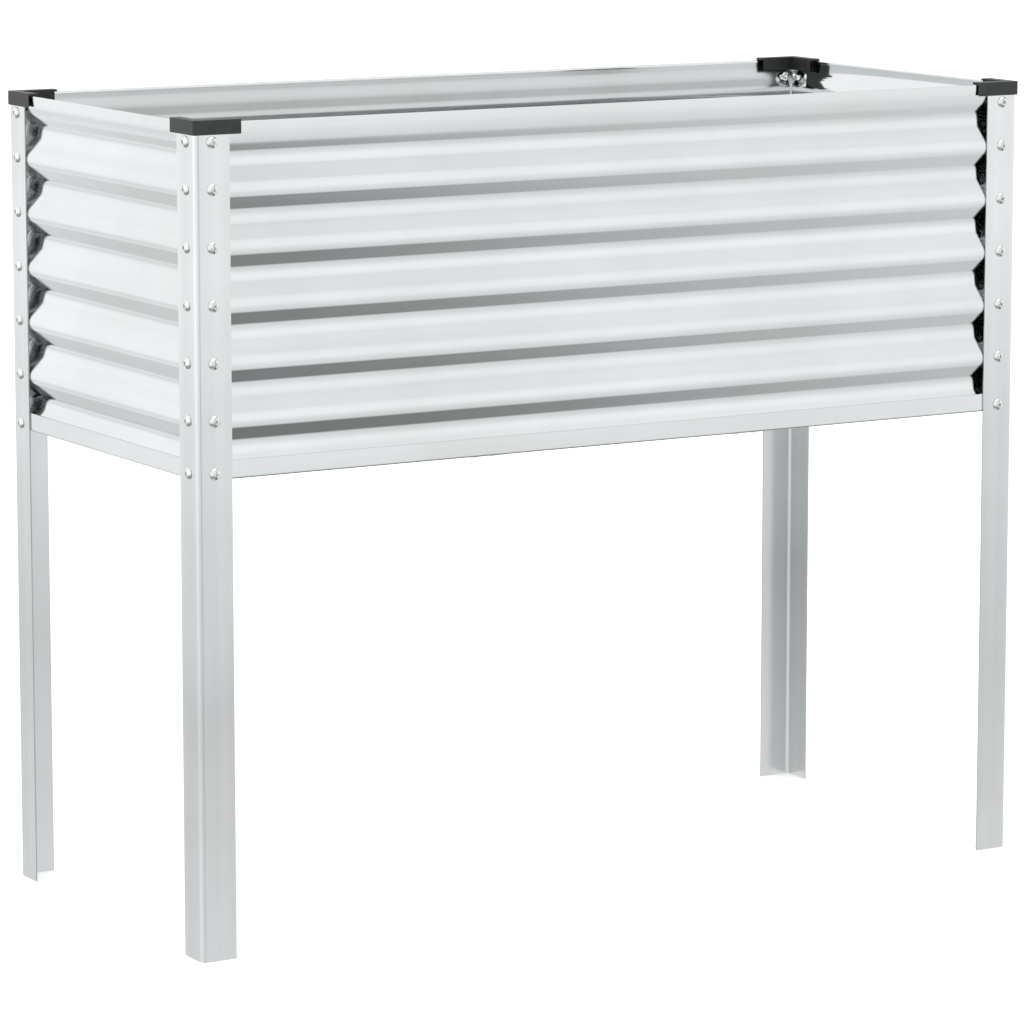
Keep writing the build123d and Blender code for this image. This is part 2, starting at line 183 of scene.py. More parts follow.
class PlanterSheetSizes(bpy.types.PropertyGroup):
    """Sheet metal: legs, corrugated panels and rails."""

    leg_flange: length("Leg Flange", "Width of each side of a leg", 40)
    leg_wall: length("Leg Wall", "Sheet that the legs are folded from", 1.5)
    leg_bend: length("Leg Bend", "Outer radius along the corner of a leg", 6)
    panel_wall: length("Panel Wall", "Sheet that the panels are rolled from", 0.8)
    crest_depth: length("Crest Depth", "How far the crests lie behind the face of a leg", 1.55)
    wave_pitch: length("Wave Pitch", "Height of one wave", 59.3)
    wave_depth: length("Wave Depth", "Depth of one wave", 9.3)
    wave_lean: share("Wave Lean", "Share of a wave that faces down", 0.464)
    drop_angle: turn("Drop Angle", "Slope of the faces that look down", 26)
    rise_angle: turn("Rise Angle", "Slope of the faces that look up", 22)
    foot_land: length("Foot Land", "Flat at the foot of a panel, behind the rail", 1.84)
    foot_depth: length("Foot Depth", "How deep the foot of a panel lies", 3)
    top_depth: length("Top Depth", "How deep the top edge of a panel lies", 1.7)
    top_run: length("Top Run", "Steep part of the top slope", 6)
    top_radius: length("Top Radius", "Bend that brings the top slope upright", 43)
    top_least: length("Least Top", "Least height of the top slope", 36)
    hem_radius: length("Hem Radius", "Outer radius of the rolled top edge", 1)
    hem_drop: length("Hem Drop", "How far the rolled edge comes down inside", 2.5)
    rail_height: length("Rail Height", "Height of the rails", 20)
    rail_ledge: length("Rail Ledge", "Width of the ledge that holds the floor", 25)
    rail_wall: length("Rail Wall", "Sheet that the rails are folded from", 1.5)
    rail_bend: length("Rail Bend", "Outer radius along the foot of a rail", 2.5)
    ledge_notch: length("Ledge Notch", "Cut at both ends of the short ledges", 27)
    edge_break: length("Edge Break", "Rounding of the sheared edges", 0.16)
    wave_steps: IntProperty(
        name="Wave Steps", description="Faces round each bend of a wave", default=7, min=2
    )
    fold_steps: IntProperty(
        name="Fold Steps", description="Faces round a fold or a hem", default=8, min=2
    )


class PlanterFastenerSizes(bpy.types.PropertyGroup):
    """Screws and nuts."""

    shank_radius: length("Shank Radius", "Screws through the legs", 3)
    head_radius: length("Head Radius", "Screws through the legs", 6.2)
    head_height: length("Head Height", "Screws through the legs", 3.9)
    head_rim: length("Head Rim", "Upright rim under the dome", 0.9)
    recess_length: length("Recess Length", "Across the cross recess", 6.4)
    recess_width: length("Recess Width", "Width of one slot of the cross", 1.3)
    recess_depth: length("Recess Depth", "Depth of the cross recess", 1.9)
    floor_shank_radius: length("Floor Shank Radius", "Screws through the floor", 2.5)
    floor_head_radius: length("Floor Head Radius", "Screws through the floor", 5.5)
    floor_head_height: length("Floor Head Height", "Screws through the floor", 2.1)
    floor_head_rim: length("Floor Head Rim", "Upright rim under the dome", 0.45)
    thread_pitch: length("Thread Pitch", "Distance between two turns of the thread", 1)
    thread_depth: length("Thread Depth", "How deep the thread is cut", 0.35)
    hole_clearance: length("Hole Clearance", "Room round a screw in the sheets", 0.3)
    round_steps: IntProperty(
        name="Round Steps", description="Faces round a screw", default=28, min=8
    )


class PlanterFinish(bpy.types.PropertyGroup):
    """Colours and finishes."""

    panel_zinc: colour("Panel Zinc", "Zinc of the corrugated panels", (0.93, 0.94, 0.94))
    leg_zinc: colour("Leg Zinc", "Zinc of the legs", (0.93, 0.94, 0.94))
    rail_zinc: colour("Rail Zinc", "Zinc of the rails", (0.88, 0.89, 0.89))
    floor_zinc: colour("Floor Zinc", "Zinc of the floor sheets", (0.78, 0.79, 0.8))
    cut_steel: colour("Cut Steel", "Sheared edges, where the zinc is thin", (0.42, 0.43, 0.44))
    screw_zinc: colour("Screw Zinc", "Bright zinc of screws and nuts", (0.9, 0.9, 0.89))
    cap_plastic: colour("Cap Plastic", "Black plastic of the caps", (0.012, 0.013, 0.013))
    panel_roughness: share("Panel Roughness", "Of the corrugated panels", 0.06)
    leg_roughness: share("Leg Roughness", "Of legs and rails", 0.2)


class PlanterStage(bpy.types.PropertyGroup):
    """Floor, light and camera."""

    floor_shade: share("Floor Shade", "How pale the floor is", 0.75)
    floor_glow: share("Floor Glow", "Light from under the pale floor", 0.75)
    floor_reach: length("Floor Reach", "Radius of the floor", 60000)
    sky_strength: share("Sky Strength", "Of the soft light all round", 1.0, 4.0)
    lens: FloatProperty(name="Lens", description="Focal length in millimetres", default=170.05)
    camera_yaw: turn("Camera Yaw", "Turn from the long side", 30.4126)
    camera_pitch: turn("Camera Pitch", "Tilt below level", 8.9267)
    camera_shift: FloatProperty(
        name="Camera Shift", description="Upright shift of the picture", default=-0.05
    )


def settings():
    """Every setting of the planter."""
    scene = bpy.context.scene
    return scene.planter_sheets, scene.planter_fasteners, scene.planter_finish, scene.planter_stage


# ---------------------------------------- node materials


class Nodes:
    """Adds nodes to a tree and links them as they are named."""

    def __init__(self, tree):
        self.tree = tree
        tree.nodes.clear()

    def add(self, kind, inputs=None, **values):
        """A node with its properties set and its inputs set or linked."""
        node = self.tree.nodes.new("ShaderNode" + kind)
        for name, value in values.items():
            setattr(node, name, value)
        for name, value in (inputs or {}).items():
            self.set(node.inputs[name], value)
        return node

    def set(self, socket, value):
        """Links a socket or sets its value."""
        if isinstance(value, bpy.types.NodeSocket):
            self.tree.links.new(value, socket)
        else:
            socket.default_value = value

    def noise(self, where, scale, detail=3.0, roughness=0.5, stretch=(1, 1, 1)):
        """Value of a noise over the piece, with its grains a given number to the metre."""
        spread = self.add("Mapping", {"Vector": where, "Scale": [scale * s for s in stretch]})
        inputs = {"Vector": spread.outputs[0], "Scale": 1.0}
        inputs.update({"Detail": detail, "Roughness": roughness})
        return self.add("TexNoise", inputs).outputs["Fac"]

    def span(self, value, low, high, start, end):
        """Carries a value from one range to another and holds it there."""
        inputs = {"Value": value, "From Min": low, "From Max": high}
        inputs.update({"To Min": start, "To Max": end})
        return self.add("MapRange", inputs).outputs[0]

    def math(self, operation, value, *others):
        """A value after an operation with each of the others in turn."""
        for other in others:
            value = self.add("Math", {0: value, 1: other}, operation=operation).outputs[0]
        return value

    def product(self, *values):
        return self.math("MULTIPLY", *values)

    def total(self, *values):
        return self.math("ADD", *values)

    def mix(self, factor, first, second, blend="MIX"):
        """Mixes two colours."""
        node = self.add("Mix", data_type="RGBA", blend_type=blend)
        self.set(node.inputs[0], factor)
        self.set(node.inputs[6], first)
        self.set(node.inputs[7], second)
        return node.outputs[2]

    def noise_span(self, noise, start, end):
        """Carries a noise from its usual range to another."""
        return self.span(noise, NOISE_LOW, NOISE_HIGH, start, end)

    def bump(self, height, strength, distance, under=None):
        """Normal of a height in metres."""
        inputs = {"Height": height, "Strength": strength, "Distance": distance}
        if under is not None:
            inputs["Normal"] = under
        return self.add("Bump", inputs).outputs[0]

    def surface(self, base, rough, normal, metallic=0.0):
        """The shader of a surface and the output that it goes to."""
        inputs = {"Base Color": base, "Metallic": metallic, "Roughness": rough, "Normal": normal}
        shader = self.add("BsdfPrincipled", inputs)
        self.add("OutputMaterial", {"Surface": shader.outputs[0]})


def new_material(name):
    """A material with an empty tree, and its tree's helper."""
    material = bpy.data.materials.new(name)
    material.use_nodes = True
    return material, Nodes(material.node_tree)


def rgba(three):
    return (*three, 1.0)


def galvanised(name, zinc, roughness, rolled, seed, relief, cloudy, cut_steel, back_shade_and_rough, height_shaded):
    """Zinc coated sheet: fine spangle, faint rolling lines, cloudy patches and bare cut edges.

    rolled is the stretch of the rolling lines, small along the direction that the sheet ran.
    relief scales the faint buckles and dimples of the sheet, cloudy its patches and streaks.
    back_shade_and_rough is painted shade: how much darker the side that faces into the box is
    made, and it makes that side rougher too.
    A height shaded sheet gets painted shade, darker from the top down to a low height, and painted
    light, lighter again towards the floor.
    """
    material, nodes = new_material(name)
    coordinates = nodes.add("TexCoord").outputs["Object"]
    where = nodes.add("Mapping", {"Vector": coordinates, "Location": (seed, -seed, seed / 3)})
    where = where.outputs[0]

    warp = nodes.add("TexNoise", {"Vector": where, "Scale": WARP_GRAINS, "Detail": 2.0})
    push = {0: warp.outputs["Color"], 1: (SPANGLE_WARP,) * 3}
    push = nodes.add("VectorMath", push, operation="MULTIPLY").outputs[0]
    bent = nodes.add("VectorMath", {0: where, 1: push}, operation="ADD").outputs[0]
    spangle = nodes.add("TexVoronoi", {"Vector": bent, "Scale": SPANGLE_GRAINS})
    spangle = nodes.add("SeparateColor", {"Color": spangle.outputs["Color"]}).outputs[0]
    lines = nodes.noise(where, LINE_GRAINS, 3.0, 0.6, rolled)
    bands = nodes.noise(where, BAND_GRAINS, 2.0, 0.5, rolled)
    clouds = nodes.noise(where, CLOUD_GRAINS, 4.0, 0.55)
    haze = nodes.noise(where, HAZE_GRAINS, 2.0, 0.5)

    shade = nodes.product(
        nodes.noise_span(clouds, 1.0 - CLOUD_SHARE * cloudy, 1.0),
        nodes.noise_span(haze, 1.0 - HAZE_SHARE * cloudy, 1.0),
        nodes.noise_span(bands, 1.0 - BAND_SHARE * cloudy, 1.0),
    )
    # Painted shade, darker from the top down to a low height, and painted light, lighter again at
    # the floor.
    if height_shaded:
        height = nodes.add("SeparateXYZ", {"Vector": coordinates}).outputs["Z"]
        shade = nodes.product(
            shade, nodes.span(height, PAINTED_SHADE_LOW, PAINTED_SHADE_HIGH, LOW_PAINTED_SHADE, 1.0),
            nodes.span(height, 0.0, PAINTED_SHADE_LOW, FOOT_PAINTED_LIGHT, 1.0),
        )
    # Painted shade on the side that faces into the box: its colour is darkened, and the same
    # amount also makes it rougher.
    back = nodes.add("Attribute", attribute_name="back_side").outputs["Fac"]
    back = nodes.product(back, back_shade_and_rough)
    shade = nodes.product(
        shade, nodes.math("SUBTRACT", 1.0, back), nodes.span(spangle, 0.0, 1.0, 0.993, 1.0),
        nodes.noise_span(lines, 0.985, 1.0),
    )
    cool = rgba(part * scale for part, scale in zip(zinc, BLUER))
    cool = nodes.mix(nodes.span(haze, PATCH_LOW, PATCH_HIGH, 0.0, 1.0), rgba(zinc), cool)
    tone = nodes.add("CombineColor", {0: shade, 1: shade, 2: shade}).outputs[0]
    cool = nodes.mix(1.0, cool, tone, "MULTIPLY")
    edge = nodes.add("Attribute", attribute_name="cut_edge").outputs["Fac"]
    edge = nodes.product(edge, nodes.noise_span(clouds, 0.65, 1.0))
    base = nodes.mix(edge, cool, rgba(cut_steel))

    rough = nodes.total(
        nodes.noise_span(clouds, -0.015, 0.025), roughness,
        nodes.span(spangle, 0.0, 1.0, -0.008, 0.008), nodes.noise_span(bands, -0.01, 0.015),
        nodes.product(edge, 0.25), nodes.product(back, 0.6),
    )

    buckles = nodes.bump(haze, 0.25 * relief, 1.2 * MM)
    dimples = nodes.bump(clouds, 0.2 * relief, 0.25 * MM, buckles)
    streaks = nodes.bump(bands, 0.5 * relief, 0.12 * MM, dimples)
    grain = nodes.bump(lines, 0.15, 0.01 * MM, streaks)
    nodes.surface(base, rough, grain, 1.0)
    return material


def bright_zinc(name, zinc):
    """Plated screws and nuts: smooth, faintly streaked, with painted shade darkening their corners
    and recesses.
    """
    material, nodes = new_material(name)
    where = nodes.add("TexCoord").outputs["Object"]
    clouds = nodes.noise(where, PLATING_GRAINS, 3.0, 0.6)
    streaks = nodes.noise(where, PLATING_STREAKS, 2.0, 0.5, (1, 1, 0.3))
    # Painted shade: corners and recesses, found by ambient occlusion, are darkened towards a grey.
    corner = nodes.add("AmbientOcclusion", {"Distance": 1.5 * MM}, samples=4).outputs["AO"]
    corner_shade = nodes.span(corner, 0.3, 0.9, 1.0, 0.0)
    dull = nodes.span(clouds, 0.35, 0.7, 0.0, 0.25)
    base = nodes.mix(dull, rgba(zinc), rgba(DULL_PLATING))
    base = nodes.mix(nodes.product(corner_shade, 0.6), base, rgba(PLATING_CORNER_SHADE))
    rough = nodes.total(nodes.noise_span(clouds, 0.06, 0.12), nodes.product(streaks, 0.03))
    nodes.surface(base, rough, nodes.bump(streaks, 0.2, 0.03 * MM), 1.0)
    return material


def black_plastic(name, tint):
    """Moulded black plastic: fine leathery grain, paler where its edges are rubbed."""
    material, nodes = new_material(name)
    where = nodes.add("TexCoord").outputs["Object"]
    grain = nodes.noise(where, LEATHER_GRAINS, 2.0, 0.55)
    flow = nodes.noise(where, FLOW_GRAINS, 3.0, 0.55)
    pale = tuple(3.2 * part + 0.01 for part in tint)
    edge = nodes.add("Attribute", attribute_name="cut_edge").outputs["Fac"]
    rubbed = nodes.product(edge, nodes.span(flow, PATCH_LOW, PATCH_HIGH, 0.25, 0.9))
    base = nodes.mix(nodes.noise_span(flow, 0.0, 0.35), rgba(tint), rgba(pale))
    base = nodes.mix(rubbed, base, rgba(tuple(1.6 * part for part in pale)))
    rough = nodes.total(nodes.noise_span(flow, 0.36, 0.46), nodes.product(grain, 0.1))
    nodes.surface(base, rough, nodes.bump(grain, 0.35, 0.06 * MM))
    return material


def finish_for(key):
    """The material of a kind of piece, made the first time that it is asked for."""
    if key in bpy.data.materials:
        return bpy.data.materials[key]
    _, _, finish, _ = settings()
    # Colour, roughness, rolling lines, seed, relief and clouds of each kind of sheet.
    sheets = {
        "panel_sheet_long": (finish.panel_zinc, finish.panel_roughness, ALONG_X, 1.7, 0.55, 0.1),
        "panel_sheet_short": (finish.panel_zinc, finish.panel_roughness, ALONG_Y, 3.1, 0.55, 0.1),
        "leg_sheet": (finish.leg_zinc, finish.leg_roughness, ALONG_Z, 5.3, 0.35, 0.12),
        "rail_sheet_long": (finish.rail_zinc, finish.leg_roughness, ALONG_X, 7.9, 0.35, 0.1),
        "rail_sheet_short": (finish.rail_zinc, finish.leg_roughness, ALONG_Y, 8.3, 0.35, 0.1),
        "floor_sheet": (finish.floor_zinc, FLOOR_ROUGHNESS, ALONG_Y, 11.9, 0.6, 0.12),
    }
    if key in sheets:
        zinc, *others = sheets[key]
        # Painted shade inside the box, on the long panels only, with extra roughness on that side.
        back_shade_and_rough = 0.2 if key == "panel_sheet_long" else 0.0
        return galvanised(
            key, tuple(zinc), *others, tuple(finish.cut_steel), back_shade_and_rough, key == "leg_sheet"
        )
    if key == "plated_zinc":
        return bright_zinc(key, tuple(finish.screw_zinc))
    if key == "cap_plastic":
        return black_plastic(key, tuple(finish.cap_plastic))
    raise RuntimeError(f"no finish is called {key}")


# ---------------------------------------- making meshes


def put_in(name, data):
    """An object of some data, put into the scene."""
    made = bpy.data.objects.new(name, data)
    bpy.context.scene.collection.objects.link(made)
    return made


def finished(bm, name, key, slot, *nodes):
    """Turns a bmesh into a shown piece that rides on the body and stands for its nodes."""
    bm.normal_update()
    for face in bm.faces:
        face.smooth = True
    for edge in bm.edges:
        edge.smooth = edge.is_manifold and edge.calc_face_angle(0) < SMOOTH_UNDER
    mesh = bpy.data.meshes.new(name)
    bm.to_mesh(mesh)
    bm.free()
    piece = put_in(name, mesh)
    mesh.materials.append(finish_for(key))
    even = piece.modifiers.new("even shading", "WEIGHTED_NORMAL")
    even.keep_sharp = True
    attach(piece, "root")
    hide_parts(*nodes)


def combined(bm, others, operation="DIFFERENCE"):
    """A bmesh cut by another, or what both have in common. The first is used up."""
    shapes = []
    for number, source in enumerate((bm, others)):
        mesh = bpy.data.meshes.new(f"cut_{number}")
        source.to_mesh(mesh)
        shapes.append(put_in(mesh.name, mesh))
    cut = shapes[0].modifiers.new("cut", "BOOLEAN")
    cut.object, cut.operation, cut.solver = shapes[1], operation, "EXACT"
    cut.use_self = True
    seen = bpy.context.evaluated_depsgraph_get()
    mesh = bpy.data.meshes.new_from_object(shapes[0].evaluated_get(seen))
    result = bmesh.new()
    result.from_mesh(mesh)
    for shape in shapes:
        bpy.data.meshes.remove(shape.data)
    bpy.data.meshes.remove(mesh)
    bm.free()
    return result


def edge_layer(bm):
    """The face layer that says which faces are cut or rubbed edges."""
    return bm.faces.layers.float.get("cut_edge") or bm.faces.layers.float.new("cut_edge")


def bevelled(bm, edges, size, segments):
    """Rounds or chamfers edges, and says which faces that makes."""
    return bmesh.ops.bevel(
        bm, geom=edges, offset=size, offset_type="OFFSET", segments=segments, profile=0.5,
        affect="EDGES", clamp_overlap=True, material=-1,
    )["faces"]


def break_edges(bm, size, sharper_than=60, mark=False):
    """Rounds every edge that is sharper than an angle."""
    limit = math.radians(sharper_than)
    layer = edge_layer(bm)
    edges = [e for e in bm.edges if e.is_manifold and e.calc_face_angle(0) > limit]
    made = bevelled(bm, edges, size, EDGE_STEPS)
    if mark:
        for face in made:
            face[layer] = 1.0


def bent_sheet(start, heading, steps, wall, half, edge_break, bend_steps):
    """A bent sheet, drawn by its outer face in X and Z and as long as both halves along Y.

    A step is a length and 0, or a radius and its turn in radians, positive to the left.
    The wall lies to the right of the way that the steps go.
    """
    bm = bmesh.new()
    here, heading = Vector((start[0], 0, start[1])), Vector((heading[0], 0, heading[1]))
    ends = [bm.verts.new(here + ALONG * half * side) for side in (-1, 1)]
    edge = bm.edges.new(ends)
    first = (here.copy(), heading.copy())
    for size, angle in steps:
        if angle == 0:
            made = bmesh.ops.extrude_edge_only(bm, edges=[edge])["geom"]
            verts = [item for item in made if isinstance(item, bmesh.types.BMVert)]
            bmesh.ops.translate(bm, vec=heading * size, verts=verts)
            here = here + heading * size
        else:
            left = Vector((-heading.z, 0, heading.x))
            centre = here + left * math.copysign(size, angle)
            spin = Matrix.Rotation(-angle, 4, "Y")
            made = bmesh.ops.spin(
                bm, geom=[*edge.verts, edge], cent=centre, axis=(0, -1, 0), angle=angle,
                steps=bend_steps(size), use_merge=False, use_duplicate=False,
            )["geom_last"]
            here = centre + spin @ (here - centre)
            heading = spin @ heading
        edge = next(
            item for item in made if isinstance(item, bmesh.types.BMEdge)
            and abs(item.verts[0].co.y - item.verts[1].co.y) > half
            and all(((v.co - here) * FLAT).length < SHEET_END for v in item.verts)
        )
    bmesh.ops.remove_doubles(bm, verts=bm.verts, dist=TWIN_VERTS)
    bmesh.ops.recalc_face_normals(bm, faces=bm.faces)
    # The outer face looks to the left of the way that the steps go.
    nearest = min(bm.faces, key=lambda f: (f.calc_center_median() - first[0]).length)
    left = Vector((-first[1].z, 0, first[1].x))
    if nearest.normal.dot(left) < 0:
        bmesh.ops.reverse_faces(bm, faces=bm.faces)
    back = bm.faces.layers.float.new("back_side")
    outer = set(bm.faces)
    bmesh.ops.solidify(bm, geom=bm.faces, thickness=wall)
    bm.normal_update()
    for face in bm.faces:
        face[back] = 0.0 if face in outer else 1.0
    layer = edge_layer(bm)
    for face in bm.faces:
        centre = face.calc_center_median()
        at_ends = any(
            abs(face.normal.dot(way)) > SQUARE_ON and ((centre - spot) * FLAT).length < wall
            for spot, way in (first, (here, heading))
        )
        if abs(face.normal.y) > SQUARE_ON or at_ends:
            face[layer] = 1.0
    break_edges(bm, edge_break)
    return bm


def placed(bm, depth_way, along_way, up_way, origin):
    """Carries a section drawn in X and Z to its place, and keeps its faces outwards."""
    place = Matrix((depth_way, along_way, up_way)).transposed().to_4x4()
    place.translation = origin
    bmesh.ops.transform(bm, matrix=place, verts=bm.verts)
    if place.determinant() < 0:
        bmesh.ops.reverse_faces(bm, faces=bm.faces)


def islands(node):
    """The corners of the box round each separate solid of a node, lowest first."""
    bm = bmesh.new()
    bm.from_mesh(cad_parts[node].data)
    bmesh.ops.remove_doubles(bm, verts=bm.verts, dist=TWIN_CAD_VERTS)
    left, boxes = set(bm.verts), []
    while left:
        group, edge_of_group = set(), [left.pop()]
        while edge_of_group:
            vert = edge_of_group.pop()
            group.add(vert)
            for link in vert.link_edges:
                other = link.other_vert(vert)
                if other in left:
                    left.discard(other)
                    edge_of_group.append(other)
        places = [vert.co for vert in group]
        low = Vector([min(place[i] for place in places) for i in range(3)])
        high = Vector([max(place[i] for place in places) for i in range(3)])
        boxes.append((low, high))
    bm.free()
    return sorted(boxes, key=lambda box: tuple(round(part, 5) for part in (*box[0], *box[1])))


def fastener_places(node, across):
    """Middle, way out and length of each fastener of a node, from the boxes of its solids.

    across is the size of its head or its flats, which its own length differs from.
    """
    middle = (Vector(cad_bounds[0]) + Vector(cad_bounds[1])) / 2
    found = []
    for low, high in islands(node):
        size, centre = high - low, (low + high) / 2
        if node.startswith("floor"):
            axis, out = 2, -1
        else:
            axis = max((0, 1), key=lambda i: abs(size[i] - across))
            out = math.copysign(1, centre[axis] - middle[axis])
        way = Vector([out if i == axis else 0 for i in range(3)])
        found.append((centre, way, size[axis]))
    return found


def side_frames():
    """Where each side's section goes: its depth, length and height ways and its origin."""
    low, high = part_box("leg_front_left")[0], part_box("leg_rear_right")[1]
    mid = (low + high) / 2
    x, y = Vector((1, 0, 0)), Vector((0, 1, 0))
    return {
        "front": (y, x, UP, Vector((mid.x, low.y, 0))),
        "rear": (-y, x, UP, Vector((mid.x, high.y, 0))),
        "left": (x, y, UP, Vector((low.x, mid.y, 0))),
        "right": (-x, y, UP, Vector((high.x, mid.y, 0))),
    }


def run_of(side):
    """Whether a side is a long or a short one."""
    return "long" if side in ("front", "rear") else "short"


def half_along(node, side):
    """Half of a node's length along its side."""
    low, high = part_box(node)
    axis = 0 if run_of(side) == "long" else 1
    return (high[axis] - low[axis]) / 2


# ---------------------------------------- section of the panels


def half_wave(height, depth, angle):
    """Bend radius and straight run that change the depth over a height at a slope angle."""
    radius = (height - depth / math.tan(angle)) / (2 * math.tan(angle / 2))
    return radius, (depth - 2 * radius * (1 - math.cos(angle))) / math.sin(angle)


def short_wave(depth, radius, angle):
    """Bend radius and straight run of a slope that ends early."""
    bend_factor = 2 * (1 - math.cos(angle))
    radius = min(radius, MOST_BEND_SHARE * depth / bend_factor)
    return radius, (depth - bend_factor * radius) / math.sin(angle)


def bend_height(radius, run, angle):
    """Height taken by two opposite bends and the straight run between them."""
    return 2 * radius * math.sin(angle) + run * math.cos(angle)


def top_slope(sizes, valley_depth, valley_height, drop_radius, top):
    """Radius and turn of the top bend, and the straight land from it to the hem."""
    steep = sizes.drop_angle
    bend_start = valley_depth - drop_radius * (1 - math.cos(steep))
    bend_start -= sizes.top_run * math.sin(steep)
    most_radius = MOST_BEND_SHARE * (bend_start - sizes.top_depth) / (1 - math.cos(steep))
    radius = min(sizes.top_radius, most_radius)
    bend_depth = bend_start + radius * math.cos(steep)
    bend_place = (drop_radius + radius) * math.sin(steep) + sizes.top_run * math.cos(steep)
    back = sizes.top_depth + sizes.hem_radius - bend_depth
    up = top - sizes.hem_radius - valley_height - bend_place
    apart = math.hypot(back, up)
    smaller = radius - sizes.hem_radius
    lean = math.atan2(-back, up) - math.asin(smaller / apart)
    return radius, steep - lean, math.sqrt(apart**2 - smaller**2)


def panel_steps(sizes, bottom, top):
    """Steps up the outer face of a panel, from its foot to the inner end of its hem."""
    drop = sizes.wave_lean * sizes.wave_pitch
    rise = sizes.wave_pitch - drop
    drop_radius, drop_run = half_wave(drop, sizes.wave_depth, sizes.drop_angle)
    rise_radius, rise_run = half_wave(rise, sizes.wave_depth, sizes.rise_angle)
    valley = sizes.crest_depth + sizes.wave_depth
    foot = short_wave(valley - sizes.foot_depth, rise_radius, sizes.rise_angle)
    first_crest = bottom + sizes.foot_land + bend_height(*foot, sizes.rise_angle) + drop
    waves = 1 + int((top - sizes.top_least - rise - first_crest) / sizes.wave_pitch)
    last_valley = first_crest + (waves - 1) * sizes.wave_pitch + rise
    top_bend, top_turn, top_land = top_slope(sizes, valley, last_valley, drop_radius, top)

    def inwards(radius, run):
        return [(radius, -sizes.rise_angle), (run, 0), (radius, sizes.rise_angle)]

    def outwards(radius, run):
        return [(radius, sizes.drop_angle), (run, 0), (radius, -sizes.drop_angle)]

    steps = [(sizes.foot_land, 0)] + inwards(*foot)
    for _ in range(waves):
        steps += outwards(drop_radius, drop_run) + inwards(rise_radius, rise_run)
    steps += [(drop_radius, sizes.drop_angle), (sizes.top_run, 0), (top_bend, -top_turn)]
    return steps + [(top_land, 0), (sizes.hem_radius, -math.pi), (sizes.hem_drop, 0)]


# ---------------------------------------- screws and nuts


def cone(bm, segments, foot, top, depth):
    """A capped cone or rod about the Z axis, and its verts."""
    return bmesh.ops.create_cone(
        bm, cap_ends=True, cap_tris=False, segments=segments, radius1=foot, radius2=top,
        depth=depth,
    )["verts"]


def ring_moved(bm, ring, drop, scale):
    """Extrudes a ring of edges, moves it down and scales it about the Z axis."""
    made = bmesh.ops.extrude_edge_only(bm, edges=ring)["geom"]
    verts = [item for item in made if isinstance(item, bmesh.types.BMVert)]
    bmesh.ops.translate(bm, vec=(0, 0, -drop), verts=verts)
    bmesh.ops.scale(bm, vec=(scale, scale, 1), verts=verts)
    return [item for item in made if isinstance(item, bmesh.types.BMEdge)]


def screw_shape(sizes, shank, length_below, radius, height, rim):
    """A domed screw with a cross recess and a thread, head up, seated on the origin."""
    dome = height - rim
    ball = (radius ** 2 + dome ** 2) / (2 * dome)
    bm = bmesh.new()
    bmesh.ops.create_uvsphere(
        bm, u_segments=sizes.round_steps, v_segments=DOME_STEPS, radius=ball
    )
    bmesh.ops.translate(bm, vec=(0, 0, height - ball), verts=bm.verts)
    bmesh.ops.bisect_plane(
        bm, geom=[*bm.verts, *bm.edges, *bm.faces], dist=TWIN_VERTS, plane_co=(0, 0, rim),
        plane_no=(0, 0, -1), clear_outer=True,
    )
    ring = [edge for edge in bm.edges if edge.is_boundary]
    ring = ring_moved(bm, ring, rim, 1)
    ring = ring_moved(bm, ring, 0, shank / radius)
    root = shank - sizes.thread_depth
    turns = int(length_below / sizes.thread_pitch) - 1
    gap = (length_below - turns * sizes.thread_pitch) / 2
    ring = ring_moved(bm, ring, gap, 1)
    for _ in range(turns):
        ring = ring_moved(bm, ring, sizes.thread_pitch * THREAD_SLOPE, root / shank)
        ring = ring_moved(bm, ring, sizes.thread_pitch * THREAD_FLOOR, 1)
        ring = ring_moved(bm, ring, sizes.thread_pitch * THREAD_SLOPE, shank / root)
    ring = ring_moved(bm, ring, gap, root / shank)
    bmesh.ops.holes_fill(bm, edges=ring, sides=0)
    bmesh.ops.recalc_face_normals(bm, faces=bm.faces)
    rims = [
        edge for edge in bm.edges
        if edge.is_manifold and edge.calc_face_angle(0) > RIM_SHARP
        and all((v.co * Vector((1, 1, 0))).length > radius * RIM_REACH for v in edge.verts)
    ]
    bevelled(bm, rims, rim * RIM_ROUNDING, RIM_STEPS)

    cross = bmesh.new()
    deep = sizes.recess_depth * height / sizes.head_height
    tall = deep * 2
    long, wide = sizes.recess_length, sizes.recess_width
    for spans in ((long, wide), (wide, long)):
        made = bmesh.ops.create_cube(cross, size=1)["verts"]
        bmesh.ops.scale(cross, vec=(*spans, tall), verts=made)
        bmesh.ops.translate(cross, vec=(0, 0, height - deep + tall / 2), verts=made)
        low = [vert for vert in made if vert.co.z < height]
        bmesh.ops.scale(cross, vec=(RECESS_TAPER, RECESS_TAPER, 1), verts=low)
    foot, mouth = (wide * part for part in RECESS_MIDDLE)
    middle = cone(cross, RECESS_STEPS, foot, mouth, tall)
    place = (0, 0, height - deep * MIDDLE_DEPTH + tall / 2)
    bmesh.ops.translate(cross, vec=place, verts=middle)
    cut = combined(bm, cross)
    cross.free()
    return cut


